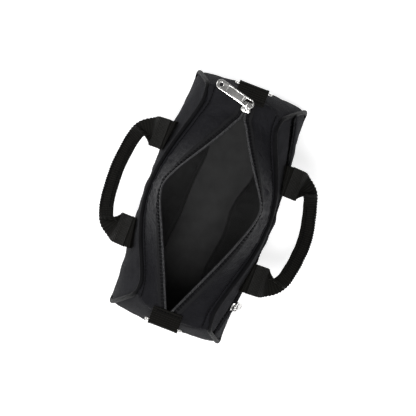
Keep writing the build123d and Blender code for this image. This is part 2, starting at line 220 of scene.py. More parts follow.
def shell(points, thick, uvs=None):
    """The solid of a closed sheet: the grid, and the grid moved back by its thickness."""
    points = np.asarray(points, float)
    rows, columns = points.shape[:2]
    back = points - grid_normals(points) * thick
    uvs = cloth_uvs(points) if uvs is None else uvs
    verts = np.concatenate([points.reshape(-1, 3), back.reshape(-1, 3)])
    both_uvs = np.concatenate([uvs.reshape(-1, 2)] * 2)
    count = rows * columns
    index = np.arange(count).reshape(rows, columns)
    a, b, c, d = index[:-1, :-1], index[:-1, 1:], index[1:, 1:], index[1:, :-1]
    front = np.stack([a, b, c, d], axis=2).reshape(-1, 4)
    faces = [front, front[:, ::-1] + count]
    ring = np.concatenate([index[0, :], index[1:, -1], index[-1, -2::-1], index[-2:0:-1, 0]])
    after = np.roll(ring, -1)
    faces.append(np.stack([ring, ring + count, after + count, after], axis=1))
    return verts, np.concatenate(faces), both_uvs


def frames_along(path, up, closed):
    """Unit tangents, and unit normals that stay as near to up as they can."""
    if closed:
        tangent = unit(np.roll(path, -1, axis=0) - np.roll(path, 1, axis=0))
    else:
        tangent = unit(np.gradient(path, axis=0))
    return tangent, unit(up - tangent * np.sum(up * tangent, axis=1, keepdims=True))


def tube(path, radius, sides=12, up=(0.0, 0.0, 1.0), closed=False, flatten=1.0):
    """The solid of a round or flattened tube. flatten scales it along the normal."""
    path = np.asarray(path, float)
    tangent, normal = frames_along(path, np.broadcast_to(np.asarray(up, float), path.shape), closed)
    side = np.cross(tangent, normal)
    radius = np.broadcast_to(radius, len(path))[:, None]
    rings = []
    for k in range(sides):
        turn = 2 * pi * k / sides
        rings.append(path + radius * (side * cos(turn) + normal * flatten * sin(turn)))
    verts = np.stack(rings, axis=1).reshape(-1, 3)
    count = len(path)
    index = np.arange(count * sides).reshape(count, sides)
    after = np.roll(index, -1, axis=1)
    if closed:
        a, b, c, d = index, after, np.roll(after, -1, axis=0), np.roll(index, -1, axis=0)
    else:
        a, b, c, d = index[:-1], after[:-1], after[1:], index[1:]
    faces = [list(f) for f in np.stack([a, b, c, d], axis=2).reshape(-1, 4)]
    if not closed:
        faces.append(list(index[0, ::-1]))
        faces.append(list(index[-1]))
    around = np.arange(sides) / sides * 2 * pi * float(radius.mean())
    uvs = np.stack(np.broadcast_arrays(lengths_along(path)[:, None], around[None, :]), axis=2)
    return verts, faces, uvs.reshape(-1, 2)


def join_parts(parts):
    """One solid from several."""
    verts, faces, uvs, start = [], [], [], 0
    for part_verts, part_faces, part_uvs in parts:
        verts.append(np.asarray(part_verts))
        uvs.append(np.asarray(part_uvs))
        faces += [[int(i) + start for i in face] for face in part_faces]
        start += len(part_verts)
    return np.concatenate(verts), faces, np.concatenate(uvs)


def resample(path, step):
    """Points about one step apart along a path."""
    path = np.asarray(path, float)
    length = lengths_along(path)
    count = max(2, int(round(length[-1] / step)) + 1)
    return read_along(np.linspace(0, length[-1], count), length, path)


def smooth_path(points, per_span=16):
    """A path through given points, rounded by a Catmull-Rom curve."""
    p = np.asarray(points, float)
    p = np.concatenate([[2 * p[0] - p[1]], p, [2 * p[-1] - p[-2]]])
    out = []
    for i in range(1, len(p) - 2):
        for k in range(per_span):
            t = k / per_span
            out.append(0.5 * (2 * p[i] + (p[i + 1] - p[i - 1]) * t
                              + (2 * p[i - 1] - 5 * p[i] + 4 * p[i + 1] - p[i + 2]) * t**2
                              + (3 * p[i] - p[i - 1] - 3 * p[i + 1] + p[i + 2]) * t**3))
    out.append(p[-2])
    return np.array(out)


STITCH, STITCH_GAP = 2.6 * MM, 0.9 * MM
STITCH_LIFTS = [[-0.1 * MM], [0.45 * MM], [0.6 * MM], [0.45 * MM], [-0.1 * MM]]  # from end to end of one stitch
THREAD_R = 0.44 * MM
THREAD_RADII = [0.7 * THREAD_R, THREAD_R, THREAD_R, THREAD_R, 0.7 * THREAD_R]


def stitches(path, normals):
    """A row of short thread capsules along a path, each dipping into the cloth at both ends."""
    path = np.asarray(path, float)
    normals = np.broadcast_to(np.asarray(normals, float), path.shape)
    length = lengths_along(path)
    parts = []
    at = STITCH_GAP
    while at + STITCH < length[-1]:
        spots = np.linspace(at, at + STITCH, len(STITCH_LIFTS))
        up = read_along(spots, length, normals)
        line = read_along(spots, length, path) + up * STITCH_LIFTS
        parts.append(tube(line, THREAD_RADII, 6, up=up))
        at += STITCH + STITCH_GAP
    return parts


COIL_WIRE_R, COIL_PITCH = 0.34 * MM, 1.2 * MM
COIL_HALF_W, COIL_HALF_T = 1.15 * MM, 0.75 * MM
COIL_SAMPLES = 12  # in each turn


def coil(path, normals, laterals, phase):
    """One half of a zip's coil: a flattened helix of nylon wire along its tape's edge."""
    length = lengths_along(path)
    at = np.arange(0, length[-1], COIL_PITCH / COIL_SAMPLES)
    turn = (at / COIL_PITCH + phase)[:, None] * 2 * pi
    up = read_along(at, length, normals)
    sideways = read_along(at, length, laterals) * COIL_HALF_W * np.cos(turn)
    line = read_along(at, length, path) + sideways + up * COIL_HALF_T * np.sin(turn)
    return tube(line, COIL_WIRE_R, 6, up=up)


# ---------------------------------------------------------------- materials
def material(name, rough=0.6, metallic=0.0, sheen=0.0, ior=1.5):
    made = bpy.data.materials.new(name)
    made.use_nodes = True
    shader = made.node_tree.nodes["Principled BSDF"]
    shader.inputs["Roughness"].default_value = rough
    shader.inputs["Metallic"].default_value = metallic
    shader.inputs["IOR"].default_value = ior
    shader.inputs["Sheen Weight"].default_value = sheen
    shader.inputs["Sheen Roughness"].default_value = 0.4
    return made


class Nodes:
    """Short calls for the nodes that the fabrics and metals share."""

    def __init__(self, made, coordinates):
        self.tree = made.node_tree
        self.shader = self.tree.nodes["Principled BSDF"]
        self.place = self.add("ShaderNodeTexCoord").outputs[coordinates]

    def add(self, kind):
        return self.tree.nodes.new(kind)

    def link(self, a, b):
        self.tree.links.new(a, b)

    def noise(self, size, detail=3.0):
        node = self.add("ShaderNodeTexNoise")
        node.inputs["Scale"].default_value = 1.0 / size
        node.inputs["Detail"].default_value = detail
        self.link(self.place, node.inputs["Vector"])
        return node.outputs["Fac"]

    def bands(self, direction, period, distortion=0.0):
        node = self.add("ShaderNodeTexWave")
        node.bands_direction = direction
        node.inputs["Scale"].default_value = 0.314159 / period
        node.inputs["Distortion"].default_value = distortion
        node.inputs["Detail Scale"].default_value = 1.5
        self.link(self.place, node.inputs["Vector"])
        return node.outputs["Fac"]

    def math(self, operation, a, b):
        node = self.add("ShaderNodeMath")
        node.operation = operation
        for socket, value in zip(node.inputs, (a, b)):
            if isinstance(value, (int, float)):
                socket.default_value = value
            else:
                self.link(value, socket)
        return node.outputs[0]

    def ramp(self, value, low, high, low_colour, high_colour):
        node = self.add("ShaderNodeValToRGB")
        node.color_ramp.elements[0].position = low
        node.color_ramp.elements[1].position = high
        node.color_ramp.elements[0].color = (*low_colour, 1)
        node.color_ramp.elements[1].color = (*high_colour, 1)
        self.link(value, node.inputs["Fac"])
        return node.outputs["Color"]

    def colour(self, output):
        self.link(output, self.shader.inputs["Base Color"])

    def roughness(self, value, low, high):
        node = self.add("ShaderNodeMapRange")
        node.inputs["To Min"].default_value = low
        node.inputs["To Max"].default_value = high
        self.link(value, node.inputs["Value"])
        self.link(node.outputs[0], self.shader.inputs["Roughness"])

    def bump(self, height, distance, strength=1.0, under=None):
        node = self.add("ShaderNodeBump")
        node.inputs["Strength"].default_value = strength
        node.inputs["Distance"].default_value = distance
        self.link(height, node.inputs["Height"])
        if under is not None:
            self.link(under, node.inputs["Normal"])
        self.link(node.outputs[0], self.shader.inputs["Normal"])
        return node.outputs[0]


def woven(name, dark, light, period, rough, sheen, coordinates="UV", fold_bump=0.25, ior=1.16):
    """Plain-woven cloth: fine warp and weft, faint tone changes and soft small creases."""
    made = material(name, rough=rough, sheen=sheen, ior=ior)
    nodes = Nodes(made, coordinates)
    warp, weft = nodes.bands("X", period), nodes.bands("Y", period)
    weave = nodes.math("MULTIPLY", nodes.math("ADD", warp, 0.3), nodes.math("ADD", weft, 0.3))
    cloudy = nodes.noise(14 * MM, 4.0)
    tone = nodes.math("ADD", nodes.math("MULTIPLY", weave, 0.3), nodes.math("MULTIPLY", cloudy, 0.7))
    nodes.colour(nodes.ramp(tone, 0.2, 0.85, dark, light))
    nodes.roughness(cloudy, rough - 0.08, rough + 0.08)
    creased = nodes.bump(nodes.noise(6 * MM, 3.0), 1.6 * MM, fold_bump)
    nodes.bump(weave, 0.12 * MM, 0.7, under=creased)
    return made


def make_webbing():
    """Ribbed nylon webbing: crosswise ribs with finer lengthwise yarns, a little warm."""
    made = material("webbing", rough=0.62, sheen=0.02, ior=1.14)
    nodes = Nodes(made, "UV")
    ribs = nodes.bands("X", 2.1 * MM, 0.6)
    yarns = nodes.bands("Y", 1.7 * MM, 0.3)
    woven_in = nodes.math("MULTIPLY", nodes.math("MULTIPLY", ribs, yarns), 0.6)
    relief = nodes.math("ADD", nodes.math("MULTIPLY", ribs, 0.65), woven_in)
    cloudy = nodes.noise(9 * MM, 3.0)
    # The colour follows the ribs' relief, so the valleys between ribs are painted darker: painted shade. The
    # cloudy share is random tone.
    tone = nodes.math("ADD", nodes.math("MULTIPLY", relief, 0.6), nodes.math("MULTIPLY", cloudy, 0.4))
    nodes.colour(nodes.ramp(tone, 0.15, 0.9, (0.0022, 0.0021, 0.0018), (0.0092, 0.0088, 0.0074)))
    nodes.roughness(cloudy, 0.5, 0.7)
    nodes.bump(relief, 0.5 * MM, 0.9)
    return made


def make_zip_tape():
    """Herringbone polyester tape."""
    made = material("zip_tape", rough=0.7, sheen=0.02, ior=1.14)
    nodes = Nodes(made, "UV")
    rows = nodes.bands("Y", 1.1 * MM, 0.3)
    twill = nodes.bands("DIAGONAL", 0.8 * MM)
    relief = nodes.math("MULTIPLY", rows, nodes.math("ADD", twill, 0.5))
    nodes.colour(nodes.ramp(relief, 0.1, 0.9, (0.006, 0.006, 0.0065), (0.018, 0.018, 0.0192)))
    nodes.bump(relief, 0.2 * MM, 0.8)
    return made


def make_coil_with_painted_highlight():
    made = material("zip_coil", rough=0.28, ior=1.45)
    nodes = Nodes(made, "Object")
    # Grey, well lighter than the black tape and cloth: a painted highlight that stands in for the glint along
    # the coil's edge. The low roughness is the wire's real gloss.
    nodes.colour(nodes.ramp(nodes.noise(3 * MM), 0.3, 0.7, (0.03, 0.03, 0.032), (0.052, 0.052, 0.055)))
    nodes.roughness(nodes.noise(1.5 * MM), 0.2, 0.36)
    return made


def make_thread():
    made = material("thread", rough=0.6, ior=1.03)
    nodes = Nodes(made, "UV")
    twist = nodes.bands("DIAGONAL", 0.5 * MM)
    # Black thread, painted darker still so that the stitch rows read as the dark dashes of the needle holes:
    # partly the thread's own black, partly painted shade.
    nodes.colour(nodes.ramp(twist, 0.2, 0.8, (0.003, 0.003, 0.0032), (0.0085, 0.0085, 0.009)))
    nodes.bump(twist, 0.06 * MM, 0.8)
    return made


def make_nickel():
    """Polished nickel plate with fine handling marks."""
    made = material("nickel", rough=0.14, metallic=1.0)
    nodes = Nodes(made, "Object")
    marks = nodes.noise(0.9 * MM, 4.0)
    nodes.colour(nodes.ramp(nodes.noise(6 * MM), 0.3, 0.7, (0.5, 0.495, 0.48), (0.62, 0.61, 0.595)))
    nodes.roughness(marks, 0.09, 0.24)
    nodes.bump(marks, 0.02 * MM, 0.25)
    return made


def make_board():
    made = material("board", rough=0.6)
    nodes = Nodes(made, "Object")
    nodes.colour(nodes.ramp(nodes.noise(2 * MM, 5.0), 0.3, 0.7, (0.012, 0.012, 0.012), (0.022, 0.022, 0.022)))
    nodes.bump(nodes.noise(1 * MM), 0.1 * MM, 0.4)
    return made


# The walls' nylon is the gusset's cloth with its reflection nearly turned off (ior 1.012) and its colour lifted
# to about twice the gusset's. The lift is painted sheen in place of that reflection.
NYLON = woven("nylon", (0.009, 0.009, 0.0102), (0.025, 0.025, 0.028), 0.55 * MM, 0.42, 0.02,
              fold_bump=0.5, ior=1.012)
GUSSET = woven("gusset_nylon", (0.004, 0.004, 0.0052), (0.012, 0.012, 0.0143), 0.55 * MM, 0.4, 0.02,
               fold_bump=0.7)
PIPING = woven("piping_nylon", (0.003, 0.003, 0.0034), (0.009, 0.009, 0.0098), 0.55 * MM, 0.5, 0.02, ior=1.08)
# The lining satin is painted much lighter than black satin: painted light that makes up for the dim light deep
# inside the bag. The pocket's lining below is a slightly darker copy of the same lightened satin.
LINING = woven("lining_satin", (0.04, 0.04, 0.0402), (0.07, 0.07, 0.0704), 0.3 * MM, 0.4, 0.03,
               fold_bump=0.15)
CAD_LINING = woven("lining_satin_flat", (0.034, 0.034, 0.0342), (0.058, 0.058, 0.0584), 0.3 * MM, 0.4, 0.03,
                   "Object")
WEBBING = make_webbing()
ZIP_TAPE = make_zip_tape()
COIL = make_coil_with_painted_highlight()
THREAD = make_thread()
NICKEL = make_nickel()
BOARD = make_board()
seams = []  # rows of stitches that ride on the bag, gathered for one piece


# ---------------------------------------------------------------- the bag's walls
def crease(x, y, z, size, seed):
    """A smooth value from -1 to 1 that changes over about one size."""
    return noise.noise(Vector((x / size + seed, y / size, z / size - seed)))


def seam_dip(*edge_gaps):
    """How far a panel's face draws in, given its distances from the edges sewn to the piping."""
    return SEAM_DIP * (1 - smooth(min(edge_gaps) / SEAM_REACH))


def rounded_reach(z, low, high, reach, foot_round, top_round):
    """How far a panel's row goes along X where its corners are rounded."""
    cut = 0.0
    for gap, radius in ((z - low, foot_round), (high - z, top_round)):
        if gap < radius:
            cut = max(cut, radius - math.sqrt(max(0.0, radius**2 - (radius - gap) ** 2)))
    return reach - cut


# Place along the wall at 110 mm up, lean, half width and height of each long fold by a rim corner
CORNER_FOLDS = ((84 * MM, 0.35, 5 * MM, 3.2 * MM), (97 * MM, 0.2, 3.5 * MM, 2.2 * MM))


def corner_folds(x, z, side):
    """Two long soft folds in each long wall, rising from the handle's end to the far rim corner."""
    height = 0.0
    for at, lean, wide, size in CORNER_FOLDS:
        off = -side * x - at + lean * (z - 110 * MM)
        height += size * exp(-((off / wide) ** 2)) * smooth((z - 55 * MM) / (40 * MM))
    return height


SLACK_TOP = 120 * MM  # below this the loose lining hangs in from the long walls
PANEL_EDGE, LINING_EDGE = 1.2 * MM, 5 * MM  # how far short of the corner the cloth stops
POCKET_GAP = 6.6 * MM  # from the pocket's chain to the panels above and below it
PANEL_FOOT, PANEL_TOP = 4.2 * MM, PIPE_RIM_Z - 0.8 * MM
LINING_FOOT, LINING_TOP = 5 * MM, 138 * MM
END_FOOT, END_TOP = 1.9 * MM, 140.2 * MM
FOOT_ROUND, TOP_ROUND = 4 * MM, 12 * MM


def long_wall(name, side, low, high, made, seed, foot_round=0.0, top_round=0.0, wrinkle=1.0, slack=0.0):
    """One cloth of a long wall, from low to high. Slack is how far a loose lining hangs in."""
    offset, thick, edge = (LINING_OFF, LINING_T, LINING_EDGE) if slack else (0.0, NYLON_T, PANEL_EDGE)
    rows, columns = max(5, int((high - low) / (2.2 * MM))), 125
    points = np.zeros((rows, columns, 3))
    for i, z in enumerate(np.linspace(high, low, rows)):
        reach = rounded_reach(z, low, high, corner_x(z) - edge, foot_round, top_round)
        for j, share in enumerate(np.linspace(-1, 1, columns)):
            x = reach * share
            inside = (1 - share**2) * smooth((z - low) / (12 * MM)) * smooth((high - z) / (8 * MM))
            pucker = crease(x * 1.6, side * 3.0, z * 0.55, 16 * MM, seed) * 1.5 * MM
            pucker += crease(x, side * 5.0, z, 55 * MM, seed + 7) * 2.2 * MM
            y = wall_y(x, z, side) - offset + pucker * inside * wrinkle
            y -= seam_dip(reach - abs(x), z - low, high - z)
            if slack:
                loose = slack + side * 9 * MM * share + crease(x, side * 2.0, z * 0.4, 45 * MM, seed) * 6 * MM
                y -= smooth((SLACK_TOP - z) / SLACK_TOP) * (1 - share**4) * loose
            else:
                y += corner_folds(x, z, side) * inside
            points[i, j] = slump((x, side * y, z))
    if side > 0:
        points = points[:, ::-1]
    build(f"{name}_cloth", shell(points, thick), made, stands_for=[name])


def short_wall(name, node, end, low, high, made, seed, offset=0.0, thick=NYLON_T, edge=PANEL_EDGE):
    """One cloth of an end wall."""
    rows, columns = int((high - low) / (2.4 * MM)), 57
    points = np.zeros((rows, columns, 3))
    for i, z in enumerate(np.linspace(high, low, rows)):
        reach = corner_y(z) - edge
        for j, share in enumerate(np.linspace(-1, 1, columns)):
            y = reach * share
            inside = (1 - share**2) * smooth((z - low) / (12 * MM)) * smooth((high - z) / (10 * MM))
            pucker = crease(end * 2.0, y * 1.5, z * 0.6, 17 * MM, seed) * 1.6 * MM
            pucker += crease(end * 2.0, y, z, 50 * MM, seed + 3) * 2.0 * MM
            x = end_wall_x(y, z) - offset + pucker * inside - seam_dip(reach - abs(y), z - low, high - z)
            points[i, j] = slump((end * x, y, z))
    if end < 0:
        points = points[:, ::-1]
    build(f"{name}_cloth", shell(points, thick), made, stands_for=[node])


def panel_loop(side, low, high, foot_round, top_round, edge, lift):
    """The closed line round a long wall's edge: along the floor, up, over the rim and down."""
    half = []
    for z in np.linspace(low, high, 70):
        half.append((rounded_reach(z, low, high, corner_x(z) - edge, foot_round, top_round), z))
    across = [(half[-1][0] * k / 40, high) for k in range(39, -40, -1)]
    floor = [(-half[0][0] + half[0][0] * k / 20, low) for k in range(1, 40)]
    outline = half + across + [(-x, z) for x, z in reversed(half)] + floor
    line = [slump((x, side * (wall_y(x, z, side) + lift), z)) for x, z in outline]
    line = np.array(line + line[:1])
    return resample(line, 2.2 * MM)[:-1]


def add_piping(name, side):
    """A cord round a long wall's edge, a little uneven, with a knob of doubled cloth at each foot corner."""
    path = panel_loop(side, 3.9 * MM, PIPE_RIM_Z, 4 * MM, 13 * MM, 0.4 * MM, 0.2 * MM)
    swell = []
    for x, y, z in path:
        knob = smooth((abs(x) - 120 * MM) / (7 * MM)) * smooth((13 * MM - z) / (8 * MM))
        swell.append(1 + 0.07 * crease(x, y, z, 5 * MM, side) + 0.3 * knob)
    cord = tube(path, PIPE_R * np.array(swell), 14, up=(0, side, 0), closed=True)
    build(name, cord, PIPING, stands_for=[name])


def add_walls():
    long_wall("front_panel", -1, PANEL_FOOT, POCKET_Z - POCKET_GAP, NYLON, 1.3, foot_round=FOOT_ROUND)
    long_wall("front_yoke", -1, POCKET_Z + POCKET_GAP, PANEL_TOP, NYLON, 2.1, top_round=TOP_ROUND, wrinkle=0.4)
    long_wall("back_panel", 1, PANEL_FOOT, PANEL_TOP, NYLON, 4.9, foot_round=FOOT_ROUND, top_round=TOP_ROUND)
    for name, side in SIDES.items():
        add_piping(f"piping_{name}", side)
        long_wall(f"lining_{name}", side, LINING_FOOT, LINING_TOP, LINING, 6 + side, slack=30 * MM)
    for name, end in ENDS.items():
        short_wall(f"end_{name}", f"end_panel_{name}", end, END_FOOT, END_TOP, NYLON, 8 + end)
        short_wall(f"lining_end_{name}", f"lining_end_{name}", end, LINING_FOOT, LINING_TOP, LINING, 11 + end,
                   LINING_OFF, LINING_T, edge=6 * MM)


def floor_cloth(name, node, half_x, half_y, top, thick, made, corner, sag=0.0, seed=0.0):
    """A level rounded sheet at the bottom of the bag, with ripples as high as its sag."""
    rows, columns = 49, 101
    points = np.zeros((rows, columns, 3))
    for i, v in enumerate(np.linspace(1, -1, rows)):
        y = half_y * v
        reach = rounded_reach(y + half_y, 0.0, 2 * half_y, half_x, corner, corner)
        for j, u in enumerate(np.linspace(-1, 1, columns)):
            x = reach * u
            inside = (1 - u**2) * (1 - v**2)
            ripple = crease(x * 0.5, y * 1.5, 0.0, 22 * MM, seed) * sag * inside
            points[i, j] = (x, y, top + ripple)
    build(name, shell(points[::-1], thick), made, stands_for=[node])


# ---------------------------------------------------------------- the mouth
def stations(end, step):
    return np.linspace(-end, end, int(2 * end / step) + 1)


# Where the gusset's rows of topstitching lie, as shares of its width, and how deep each pulls the cloth down
SEAM_ROWS = {0.035: 0.5 * MM, 0.11: 0.8 * MM, 0.87: 1.1 * MM}
GUSSET_START = 3.2 * MM  # from the chain's inner edge to the gusset's folded edge, which lies on the tape
SEAM_HALF_W = 1.0 * MM
WRINKLE_COUNT = 34
GUSSET_SEAM_X = 108 * MM
MOUTH_TAPE_X, MOUTH_COIL_X = 108.5 * MM, 107.4 * MM
TAPE_THICK = 0.6 * MM


def make_wrinkles(side):
    """Short sharp creases in the gusset's slack middle: place, share of the width, slant, half length,
    half width and height."""
    made = []
    for k in range(WRINKLE_COUNT):
        a, b, c, d = (noise.random() for _ in range(4))
        centre = side * -12 * MM + (a + b - 1) * 75 * MM
        height = (0.5 + 0.8 * a) * MM * (1 if k % 3 else -1)
        made.append((centre, c, (d - 0.5) * 1.8, (3 + 6 * b) * MM, (0.7 + 0.6 * c) * MM, height))
    return made


noise.seed_set(7)
WRINKLES = {side: make_wrinkles(side) for side in (-1, 1)}


def wrinkled(x, share, width, side):
    height = 0.0
    for centre, at, slant, half_long, half_wide, size in WRINKLES[side]:
        run, rise = x - centre, (share - at) * width
        along, off = rise * cos(slant) + run * sin(slant), run * cos(slant) - rise * sin(slant)
        if abs(along) < 2 * half_long and abs(off) < 3 * half_wide:
            height += size * exp(-((along / half_long) ** 2) - (off / half_wide) ** 2)
    return height


def gusset_point(x, share, side):
    """A point of the gusset from its tape's seam, share 0, to the rim, share 1, with its slack."""
    a = across_zip(x, GUSSET_START, side)
    b = (rim_edge_y(x, side), PIPE_RIM_Z + 0.3 * MM)
    y, z = a[0] + (b[0] - a[0]) * share, a[1] + (b[1] - a[1]) * share
    width = hypot(b[0] - a[0], b[1] - a[1])
    ny, nz = -(b[1] - a[1]) / width, (b[0] - a[0]) / width
    middle = smooth((75 * MM - abs(x)) / (60 * MM))
    held = sin(pi * min(max(share, 0.0), 1.0)) ** 0.7
    slack = crease(x * 2.0, share * 30 * MM, side * 9.0, 17 * MM, 3.3) * (0.4 + 0.8 * middle) * MM
    slack += crease(x, share * 35 * MM, side * 4.0, 42 * MM, 9.1) * 1.6 * MM
    ridge = abs(crease(x * 1.3, share * 16 * MM, side * 6.0, 9 * MM, 2.6)) ** 0.7
    slack -= ridge * (0.5 + 1.6 * middle) * MM
    slack -= 2.0 * MM * (1 - middle)
    lift = 0.9 * MM * smooth(share * 20 + 0.3) * smooth((0.9 - share) * 4)  # the folded edge stands up
    lift += slack * held + wrinkled(x, share, width, side) * smooth((share - 0.1) * 8) * held
    puckers = crease(x, 0.0, side * 2.0, 6 * MM, 5.7) * (0.35 + 0.9 * middle) * MM
    lift += puckers * (1 - share) ** 2 * smooth(share * 8)
    for row, deep in SEAM_ROWS.items():
        lift -= deep * exp(-(((share - row) * width / SEAM_HALF_W) ** 2))
    return y + ny * lift, z + nz * lift


def add_gusset(name, side):
    xs = stations(GUSSET_END_X, 1.0 * MM)
    shares = np.concatenate([np.linspace(0, 0.2, 18), np.linspace(0.23, 0.8, 14), np.linspace(0.82, 1, 12)])
    points = np.zeros((len(shares), len(xs), 3))
    for j, x in enumerate(xs):
        for i, share in enumerate(shares):
            y, z = gusset_point(x, share, side)
            z -= SEAM_DIP * smooth((share - 0.86) * 7)
            shut = end_wall_x(min(y, corner_y(RIM_Z)), RIM_Z) + 0.5 * MM
            points[i, j] = slump((max(-shut, min(shut, x)), side * y, z))
    if side > 0:
        points = points[:, ::-1]
    build(f"{name}_cloth", shell(points[::-1], NYLON_T), GUSSET, stands_for=[name])
    for share in SEAM_ROWS:
        path = []
        for x in stations(GUSSET_SEAM_X, 2.0 * MM):
            y, z = gusset_point(x, share, side)
            path.append(slump((x, side * y, z)))
        path = np.array(path)
        seams.extend(stitches(path, gusset_normals(path[:, 0], side, share)))


def gusset_normals(xs, side, share):
    normals = []
    for x in xs:
        a = gusset_point(x, share - 0.02, side)
        b = gusset_point(x, share + 0.02, side)
        width = hypot(b[0] - a[0], b[1] - a[1])
        normals.append((0.0, -side * (b[1] - a[1]) / width, (b[0] - a[0]) / width))
    return np.array(normals)


def zip_line(end, distance, side, step):
    """Points, normals and across directions at one distance from the chain's inner edge."""
    points, normals, laterals = [], [], []
    for x in stations(end, step):
        a, b = across_zip(x, distance, side), across_zip(x, distance + 2 * MM, side)
        dy, dz = (b[0] - a[0]) / (2 * MM), (b[1] - a[1]) / (2 * MM)
        points.append(slump((x, side * a[0], a[1])))
        laterals.append((0.0, side * dy, dz))
        normals.append((0.0, -side * dz, dy))
    return np.array(points), np.array(normals), np.array(laterals)


def add_zip_half(side, tape_name, coil_name, phase):
    """The tape, the coil and one row of topstitching along one lip of the mouth."""
    rows = []
    for distance in np.linspace(0.8 * MM, COIL_W + TAPE_W, 9):
        line, normals, _ = zip_line(MOUTH_TAPE_X, distance, side, 1.8 * MM)
        rows.append(line - normals * 0.1 * MM)
    points = np.array(rows)
    if side > 0:
        points = points[:, ::-1]
    build(f"{tape_name}_cloth", shell(points[::-1], TAPE_THICK), ZIP_TAPE, stands_for=[tape_name])
    wire = coil(*zip_line(MOUTH_COIL_X, 0.75 * MM, side, 1.0 * MM), phase)
    build(f"{coil_name}_wire", wire, COIL, stands_for=[coil_name])
    line, normals, _ = zip_line(MOUTH_COIL_X, 2.6 * MM, side, 2.0 * MM)
    seams.extend(stitches(line + normals * 0.1 * MM, normals))


# ---------------------------------------------------------------- the pocket's zip
POCKET_TAPE_X, POCKET_COIL_X, POCKET_SEAM_X = 116 * MM, 113 * MM, 112 * MM
POCKET_SEAM_RISE = 8.6 * MM  # from the chain to the stitches in the panels' edges


def pocket_line(height, depth, end, step):
    """Points along the pocket's level chain, at a height over its middle and a depth inside the wall."""
    centre = Vector(JOINTS["pocket_slide"]["pos_m"])
    radius = centre.y + side_y(POCKET_Z) - depth
    xs = stations(end, step)
    points = [(x, centre.y - math.sqrt(radius**2 - x**2), POCKET_Z + height) for x in xs]
    normals = [(x / radius, -math.sqrt(radius**2 - x**2) / radius, 0.0) for x in xs]
    return np.array(points), np.array(normals)


def add_pocket_zip():
    for name, up, phase in (("upper", 1, 0.0), ("lower", -1, 0.5)):
        heights = np.linspace(0.6 * MM, 7.4 * MM, 8)[::-up]
        points = np.array([pocket_line(up * h, 0.1 * MM, POCKET_TAPE_X, 1.8 * MM)[0] for h in heights])
        tape = shell(points, TAPE_THICK)
        build(f"pocket_tape_{name}_cloth", tape, ZIP_TAPE, stands_for=[f"pocket_tape_{name}"])
        line, normals = pocket_line(up * 1.15 * MM, 0.3 * MM, POCKET_COIL_X, 1.0 * MM)
        wire = coil(line, normals, np.tile([0.0, 0.0, float(up)], (len(line), 1)), phase)
        build(f"pocket_coil_{name}_wire", wire, COIL, stands_for=[f"pocket_coil_{name}"])
        z = POCKET_Z + up * POCKET_SEAM_RISE
        path = [slump((x, -wall_y(x, z, -1), z)) for x in stations(POCKET_SEAM_X, 2.0 * MM)]
        seams.extend(stitches(path, (0, -1, 0)))


# ---------------------------------------------------------------- webbing
def webbing_strip(centres, laterals, normals):
    """The solid of a flat strap along a line, with selvedges that step in and out with its ribs."""
    rows = []
    for share in np.linspace(-1, 1, 19):
        edge = abs(share) > 0.999
        jag = (np.arange(len(centres)) % 2 - 0.5)[:, None] * 0.3 * MM * edge * np.sign(share)
        crown = WEB_T * (0.5 - 0.22 * share**8)
        rows.append(centres + laterals * (WEB_W / 2 * share + jag) + normals * crown)
    return shell(np.array(rows), WEB_T)


def anchor_point(x, z, side):
    """The outer face of a sewn strap end on the wall."""
    return np.array(slump((x, side * (wall_y(x, z, side) + 0.5 * MM), z)))


def leg_plane(name, side):
    """Hinge line point, the outward direction and the face normal of a handle as it hangs."""
    slope = HANDLE_SLOPE[name]
    hinge = np.array(JOINTS[f"handle_{name}_swing"]["pos_m"])
    out = np.array([0.0, side * cos(slope), -sin(slope)])
    face = np.array([0.0, side * sin(slope), cos(slope)])
    return hinge, out, face


def add_handle_ends(name, side):
    """The two ends of a handle that are sewn flat on the wall, each with a box of topstitching."""
    foot = ANCHOR_FOOT[name]
    proud = np.array([0, side * WEB_T, 0])
    parts = []
    for centre in (-HANDLE_X, HANDLE_X):
        zs = np.linspace(foot, ANCHOR_TOP, 24)[::-1]
        xs = np.linspace(centre - WEB_W / 2, centre + WEB_W / 2, 15)[::-side]
        points = np.array([[anchor_point(x, z, side) + proud for x in xs] for z in zs])
        uvs = np.stack(np.broadcast_arrays(zs[:, None], (xs - centre)[None, :]), axis=2)
        parts.append(shell(points, WEB_T, uvs))
        inset, bottom = WEB_W / 2 - 2.5 * MM, foot + 2.5 * MM
        top = min(ANCHOR_TOP - 2 * MM, foot + 24 * MM)
        box = [(-inset, bottom), (inset, bottom), (inset, top), (-inset, top), (-inset, bottom)]
        for (x0, z0), (x1, z1) in zip(box, box[1:]):
            spots = zip(np.linspace(x0, x1, 20), np.linspace(z0, z1, 20))
            line = [anchor_point(centre + x, z, side) + [0, side * (WEB_T + 0.1 * MM), 0] for x, z in spots]
            seams.extend(stitches(line, (0, side, 0)))
    build(f"handle_{name}_ends_webbing", join_parts(parts), WEBBING, stands_for=[f"handle_{name}_ends"])


FOLD_R = 0.5 * MM  # how tightly the grip's webbing is doubled over
GRIP_TWIST = radians(28)  # the grip turns its face up, out of its handle's plane
BEND_REACH = 7 * MM  # how far the bending stretch runs onto the free loop


